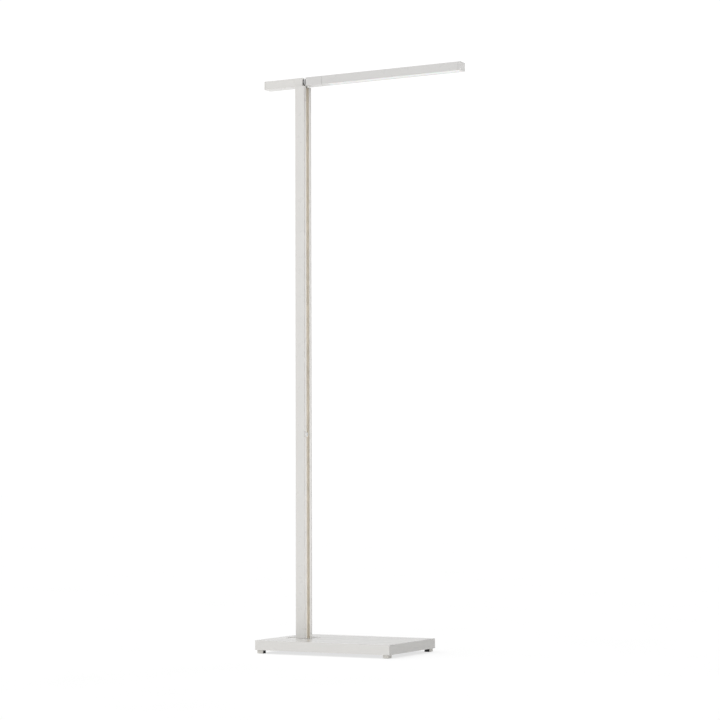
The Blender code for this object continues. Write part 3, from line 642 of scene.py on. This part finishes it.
def build_post():
    """Extrusion with rounded corners, the groove, and a hairline joint along each lip."""
    low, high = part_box("post_extrusion")
    liner_low, liner_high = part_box("groove_liner")
    floor = liner_low.x - GAP
    half = (liner_high.y - liner_low.y) / 2 + GAP
    hair_outer = high.y - HAIRLINE_EDGE
    hair_inner = hair_outer - HAIRLINE
    hair_floor = high.x - HAIRLINE_DEPTH
    points = [(low.x, low.y), (high.x, low.y), (high.x, -hair_outer), (hair_floor, -hair_outer),
              (hair_floor, -hair_inner), (high.x, -hair_inner), (high.x, -half), (floor, -half),
              (floor, half), (high.x, half), (high.x, hair_inner), (hair_floor, hair_inner),
              (hair_floor, hair_outer), (high.x, hair_outer), (high.x, high.y), (low.x, high.y)]
    front = POST_CORNER * POST_SHARPER
    square = 0.0
    radii = [POST_CORNER, front, square, square, square, square, LIP_EDGE, square,
             square, LIP_EDGE, square, square, square, square, front, POST_CORNER]
    post = mesh_object("post_profile", prism_shape(rounded(points, radii, 5), "Z", low.z, high.z))
    duct = box_shape((low.x + DUCT_WALL, low.y + DUCT_WALL, low.z - OVERSHOOT),
                     (floor - GROOVE_WALL, high.y - DUCT_WALL, high.z + OVERSHOOT))
    bush_low, bush_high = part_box("dimmer_bushing")
    bush_radius = (bush_high.y - bush_low.y) / 2 + GAP
    bush_axis = node_axis("dimmer_bushing", "X")
    hole = drill(bush_radius, bush_low.x - BUSHING_REACH, high.x + OVERSHOOT, "X", bush_axis, 40)
    carve(post, duct, hole)
    soften(post, 0.12 * MM, 2)
    finish_piece(post, "post_extrusion", PAINT)


def build_liner():
    """Anodised channel with a small slope along each inner corner."""
    low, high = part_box("groove_liner")
    floor = low.x + LINER_WALL
    left = low.y + LINER_WALL
    right = high.y - LINER_WALL
    points = [(low.x, low.y), (high.x, low.y), (high.x, left), (floor + LINER_BEAD, left),
              (floor, left + LINER_BEAD), (floor, right - LINER_BEAD),
              (floor + LINER_BEAD, right), (high.x, right), (high.x, high.y), (low.x, high.y)]
    outer_edge = 0.2 * MM
    inner_edge = 0.1 * MM
    radii = [outer_edge] * 3 + [inner_edge] * 4 + [outer_edge] * 3
    liner = mesh_object("liner_channel", prism_shape(rounded(points, radii, 3), "Z", low.z, high.z))
    polish(liner, 30)
    finish_piece(liner, "groove_liner", CHAMPAGNE)


# ---- Bar ----------------------------------------------------------------------------------------
BAR_WALL = 2 * MM
STUB_HEAD = 8 * MM            # solid length at the stub's joint end
STUB_BORE = 7.5 * MM
STUB_BORE_DEPTH = 20 * MM     # through the solid length, into the hollow
SHAFT_BORE = 4.3 * MM
WIRE_BORE = 1.8 * MM
BLOCK_BORE_DEPTH = 23.7 * MM
GRUB_HOLE = 1.8 * MM
GRUB_SOCKET = 0.8 * MM
GRUB_SOCKET_DEPTH = 1.6 * MM
CHANNEL_START = -0.4 * MM     # along the bar, from the start of the diffuser
WIRE_BORE_REACH = 5 * MM      # how far the wire's bore runs into the channel
SHOULDER = 1.4 * MM           # how far the sleeve's shoulder stands out
SHOULDER_START = -0.2 * MM    # along the bar, from the start of the sleeve's CAD node
SHOULDER_END = 2.2 * MM
ENGRAVING = 0.5 * MM          # width and depth of the line in the arm's end
ENGRAVING_INSET = 2.4 * MM
DIFFUSER_CROWN = 0.25 * MM
DIFFUSER_DROP = 0.2 * MM      # how far the crown's middle stands below the CAD node


def bar_axis(low, high):
    """Where the middle line of a piece of the bar crosses the plane through the origin."""
    return (0.0, (low.y + high.y) / 2, (low.z + high.z) / 2)


def build_stub():
    """Fixed stub and its end cap."""
    low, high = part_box("stub_housing")
    stub = mesh_object("stub_tube", box_shape(low, high))
    inside = box_shape((low.x - OVERSHOOT, low.y + BAR_WALL, low.z + BAR_WALL),
                       (high.x - STUB_HEAD, high.y - BAR_WALL, high.z - BAR_WALL))
    bore = drill(STUB_BORE, high.x - STUB_BORE_DEPTH, high.x + OVERSHOOT, "X", bar_axis(low, high), 64)
    carve(stub, inside, bore)
    soften(stub, 0.45 * MM, 3)
    finish_piece(stub, "stub_housing", PAINT)

    low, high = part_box("stub_end_cap")
    cap = mesh_object("stub_plate", box_shape(low, high))
    soften(cap, 0.7 * MM, 4)
    finish_piece(cap, "stub_end_cap", PAINT)


def build_roll_joint():
    """Slip washer, polished collar and shouldered black sleeve on the bar's own axis."""
    for node, name, material, edge in (("head_washer", "slip_washer", PLASTIC, 0.2 * MM),
                                       ("pivot_collar", "collar_ring", POLISHED, 0.35 * MM)):
        low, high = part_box(node)
        outline = tube(SHAFT_BORE, (high.y - low.y) / 2, low.x, high.x, edge)
        ring = mesh_object(name, turned_shape(outline, "X", node_axis(node, "X")))
        polish(ring)
        finish_piece(ring, node, material)

    low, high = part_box("pivot_sleeve")
    outer = (high.y - low.y) / 2
    shoulder = outer + SHOULDER
    edge = 0.2 * MM
    start = low.x + SHOULDER_START
    step = low.x + SHOULDER_END
    outline = [(SHAFT_BORE, start), (shoulder - edge, start), (shoulder, start + edge),
               (shoulder, step - edge), (shoulder - edge, step), (outer, step),
               (outer, high.x - edge), (outer - edge, high.x), (SHAFT_BORE, high.x)]
    sleeve = mesh_object("sleeve_ring", turned_shape(outline, "X", node_axis("pivot_sleeve", "X")))
    polish(sleeve)
    finish_piece(sleeve, "pivot_sleeve", PLASTIC)


def build_adapter():
    """Solid end block with its grub screw in the top."""
    low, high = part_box("arm_adapter")
    block = mesh_object("end_block", box_shape(low, high))
    screw_low, screw_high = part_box("grub_screw")
    centre = node_axis("grub_screw", "Z")
    start = low.x - OVERSHOOT
    step = low.x + BLOCK_BORE_DEPTH
    end = high.x + OVERSHOOT
    outline = [(0.0, start), (SHAFT_BORE, start), (SHAFT_BORE, step), (WIRE_BORE, step), (WIRE_BORE, end),
               (0.0, end)]
    bore = turned_shape(outline, "X", bar_axis(low, high), 48)
    screw_hole = drill(GRUB_HOLE, screw_low.z - SHORT_OVERSHOOT, high.z + OVERSHOOT, "Z", centre, 40)
    carve(block, bore, screw_hole)
    soften(block, 0.4 * MM, 3)
    # Its paint is darkened as painted shade.
    finish_piece(block, "arm_adapter", BAR_COAT_PAINTED_SHADE)

    outline = rod((screw_high.x - screw_low.x) / 2, screw_low.z, screw_high.z, 0.2 * MM)
    grub = mesh_object("socket_screw", turned_shape(outline, "Z", centre, 48))
    socket_floor = screw_high.z - GRUB_SOCKET_DEPTH
    carve(grub, drill(GRUB_SOCKET, socket_floor, screw_high.z + SHORT_OVERSHOOT, "Z", centre, 6))
    polish(grub, 25)
    finish_piece(grub, "grub_screw", STEEL)


def build_housing():
    """LED housing, open below."""
    low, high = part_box("led_housing")
    diffuser_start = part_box("diffuser")[0].x
    housing = mesh_object("light_housing", box_shape(low, high))
    channel = box_shape((diffuser_start + CHANNEL_START, low.y + BAR_WALL, low.z - OVERSHOOT),
                        (high.x + OVERSHOOT, high.y - BAR_WALL, high.z - BAR_WALL))
    bore_end = diffuser_start + WIRE_BORE_REACH
    bore = drill(WIRE_BORE, low.x - OVERSHOOT, bore_end, "X", bar_axis(low, high), 32)
    carve(housing, channel, bore)
    soften(housing, 0.4 * MM, 3)
    # Its paint is darkened as painted shade.
    finish_piece(housing, "led_housing", BAR_COAT_PAINTED_SHADE)


def build_end_plate():
    """End cap of the arm, with an engraved rectangle made of four strips."""
    low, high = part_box("arm_end_cap")
    cap = mesh_object("end_plate", box_shape(low, high))
    floor = high.x - ENGRAVING
    face = high.x + OVERSHOOT
    left = low.y + ENGRAVING_INSET
    right = high.y - ENGRAVING_INSET
    bottom = low.z + ENGRAVING_INSET
    top = high.z - ENGRAVING_INSET
    carve(cap,
          box_shape((floor, left, bottom), (face, right, bottom + ENGRAVING)),
          box_shape((floor, left, top - ENGRAVING), (face, right, top)),
          box_shape((floor, left, bottom + ENGRAVING), (face, left + ENGRAVING, top - ENGRAVING)),
          box_shape((floor, right - ENGRAVING, bottom + ENGRAVING), (face, right, top - ENGRAVING)))
    soften(cap, 0.15 * MM, 2)
    # Its paint is darkened as painted shade.
    finish_piece(cap, "arm_end_cap", BAR_COAT_PAINTED_SHADE)


def build_diffuser():
    """Opal strip with a shallow crown that faces down."""
    low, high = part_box("diffuser")
    half = (high.y - low.y) / 2
    middle = (high.y + low.y) / 2
    steps = 16
    outline = [(high.y, high.z), (low.y, high.z)]
    for step in range(steps + 1):
        share = -1 + 2 * step / steps
        outline.append((middle + share * half, low.z + DIFFUSER_CROWN * share * share - DIFFUSER_DROP))
    strip = mesh_object("opal_strip", prism_shape(outline, "X", low.x, high.x))
    soften(strip, 0.2 * MM, 2)
    finish_piece(strip, "diffuser", OPAL)


# ---- Dimmer knob --------------------------------------------------------------------------------
KNURLS = 30
POINTS_PER_KNURL = 6
KNURL_DEPTH = 0.3 * MM
KNOB_BORE = 1.5 * MM
KNOB_BORE_DEPTH = 2.8 * MM
KNOB_DISH = 0.3 * MM          # depth of the hollow in the knob's face
POINTER_WIDTH = 0.5 * MM


def build_knob():
    """Knob with a fine straight knurl, a rounded front edge, a dished face and a short pointer line."""
    low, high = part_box("dimmer_knob")
    centre = node_axis("dimmer_knob", "X")
    radius = (high.y - low.y) / 2
    count = KNURLS * POINTS_PER_KNURL
    bottom = low.x + KNOB_BORE_DEPTH
    # Each section is a place along the axis, a radius, and the share of the knurl's depth that it has.
    sections = [(bottom, 0.0, 0.0), (bottom, KNOB_BORE, 0.0), (low.x, KNOB_BORE, 0.0),
                (low.x, radius - 0.4 * MM, 0.0), (low.x + 0.4 * MM, radius, 0.0),
                (low.x + 0.8 * MM, radius, 1.0), (high.x - 1.1 * MM, radius, 1.0),
                (high.x - 0.8 * MM, radius, 0.0),
                (high.x - 0.5 * MM, radius - 0.05 * MM, 0.0), (high.x - 0.15 * MM, radius - 0.35 * MM, 0.0),
                (high.x, radius - 0.8 * MM, 0.0), (high.x, radius - 1.6 * MM, 0.0),
                (high.x - 0.25 * MM, radius - 2.2 * MM, 0.0), (high.x - KNOB_DISH, 0.0, 0.0)]
    shape = bmesh.new()
    rings = []
    for x, size, knurl in sections:
        if size == 0.0:
            rings.append([shape.verts.new((x, centre.y, centre.z))])
            continue
        ring = []
        for index in range(count):
            angle = 2 * math.pi * index / count
            reach = size - knurl * KNURL_DEPTH * (0.5 - 0.5 * math.cos(KNURLS * angle))
            y = centre.y + reach * math.cos(angle)
            z = centre.z + reach * math.sin(angle)
            ring.append(shape.verts.new((x, y, z)))
        rings.append(ring)
    for first, second in zip(rings, rings[1:]):
        bridge(shape, first, second)
    bmesh.ops.recalc_face_normals(shape, faces=shape.faces)
    knob = mesh_object("knurled_knob", shape)
    side = POINTER_WIDTH / 2
    pointer = box_shape((high.x - 0.35 * MM, centre.y - side, centre.z + 1.4 * MM),
                        (high.x + SHORT_OVERSHOOT, centre.y + side, centre.z + radius - 1.0 * MM))
    carve(knob, pointer)
    polish(knob, 30)
    finish_piece(knob, "dimmer_knob", KNOB_METAL)


# ---- Studio -------------------------------------------------------------------------------------
def build_camera():
    """Camera at the photograph's viewing angle."""
    data = bpy.data.cameras.new("camera")
    data.lens = CAMERA_LENS
    data.sensor_width = CAMERA_SENSOR
    data.clip_end = CAMERA_RANGE
    camera = bpy.data.objects.new("camera", data)
    turn = Matrix.Rotation(math.radians(CAMERA_TURN), 4, "Z")
    tilt = Matrix.Rotation(math.radians(90 + CAMERA_TILT), 4, "X")
    roll = Matrix.Rotation(math.radians(CAMERA_ROLL), 4, "Z")
    camera.matrix_world = Matrix.Translation(Vector(CAMERA_PLACE)) @ turn @ tilt @ roll
    bpy.context.scene.collection.objects.link(camera)
    bpy.context.scene.camera = camera


def build_floor():
    """Plain pale floor with a glow of its own, so that it comes out as white as the background."""
    shape = bmesh.new()
    bmesh.ops.create_circle(shape, cap_ends=True, segments=96, radius=FLOOR_RADIUS)
    floor = mesh_object("floor", shape)
    nodes = Nodes("pale_floor")
    cloud = nodes.noise(3, 2.0)
    nodes.drive(colour=nodes.blend(cloud, (FLOOR_GREY,) * 3, (FLOOR_GREY + FLOOR_CLOUD,) * 3),
                roughness=nodes.between(cloud, 0.7, 0.8))
    nodes.shader.inputs["Emission Color"].default_value = (1, 1, 1, 1)
    nodes.shader.inputs["Emission Strength"].default_value = FLOOR_GLOW
    nodes.shader.inputs["Specular IOR Level"].default_value = 0.0
    floor.data.materials.append(nodes.material)


def build_world():
    """White tent round the lamp, uneven as a real one is; the camera sees it as plain white.

    The first sum of the loop starts from the tent's level, and each later one from the sum before it.
    """
    world = bpy.data.worlds.new("studio")
    world.use_nodes = True
    tree = world.node_tree
    background = tree.nodes["Background"]
    background.inputs["Color"].default_value = (1, 1, 1, 1)
    place = tree.nodes.new("ShaderNodeTexCoord")
    split = tree.nodes.new("ShaderNodeSeparateXYZ")
    tree.links.new(place.outputs["Generated"], split.inputs["Vector"])
    total = None
    for axis, reach, change in TENT_LOBES:
        fade = tree.nodes.new("ShaderNodeMapRange")
        fade.interpolation_type = "SMOOTHSTEP"
        fade.inputs["From Min"].default_value = 0.0
        fade.inputs["From Max"].default_value = reach
        fade.inputs["To Min"].default_value = 0.0
        fade.inputs["To Max"].default_value = change
        tree.links.new(split.outputs[axis], fade.inputs["Value"])
        add = tree.nodes.new("ShaderNodeMath")
        add.operation = "ADD"
        add.inputs[1].default_value = TENT_LEVEL
        tree.links.new(fade.outputs["Result"], add.inputs[0])
        if total is not None:
            tree.links.new(total, add.inputs[1])
        total = add.outputs["Value"]
    path = tree.nodes.new("ShaderNodeLightPath")
    seen = tree.nodes.new("ShaderNodeMix")
    tree.links.new(path.outputs["Is Camera Ray"], seen.inputs["Factor"])
    tree.links.new(total, seen.inputs[2])
    seen.inputs[3].default_value = BACKGROUND_WHITE
    tree.links.new(seen.outputs[0], background.inputs["Strength"])
    bpy.context.scene.world = world


def build_side_fill():
    """Low broad fill from the right for the post and the bar, kept off the base as by a flag."""
    data = bpy.data.lights.new("side_fill", "SUN")
    data.energy = FILL_POWER
    data.angle = math.radians(FILL_SPREAD)
    fill = bpy.data.objects.new("side_fill", data)
    fill.rotation_euler = (0, math.radians(90 - FILL_HEIGHT), 0)
    bpy.context.scene.collection.objects.link(fill)
    lit = bpy.data.collections.new("lit_by_side_fill")
    for piece in bpy.data.objects:
        if piece.type == "MESH" and piece.name.startswith(FILLED_PIECES):
            lit.objects.link(piece)
    fill.light_linking.receiver_collection = lit


bpy.context.scene.view_settings.view_transform = "Standard"
build_camera()
dress_cad_nodes()
build_base_shell()
build_disc()
build_feet()
build_cover_screws()
build_inlet()
build_post()
build_liner()
build_stub()
build_roll_joint()
build_adapter()
build_housing()
build_end_plate()
build_diffuser()
build_knob()
build_floor()
build_world()
build_side_fill()
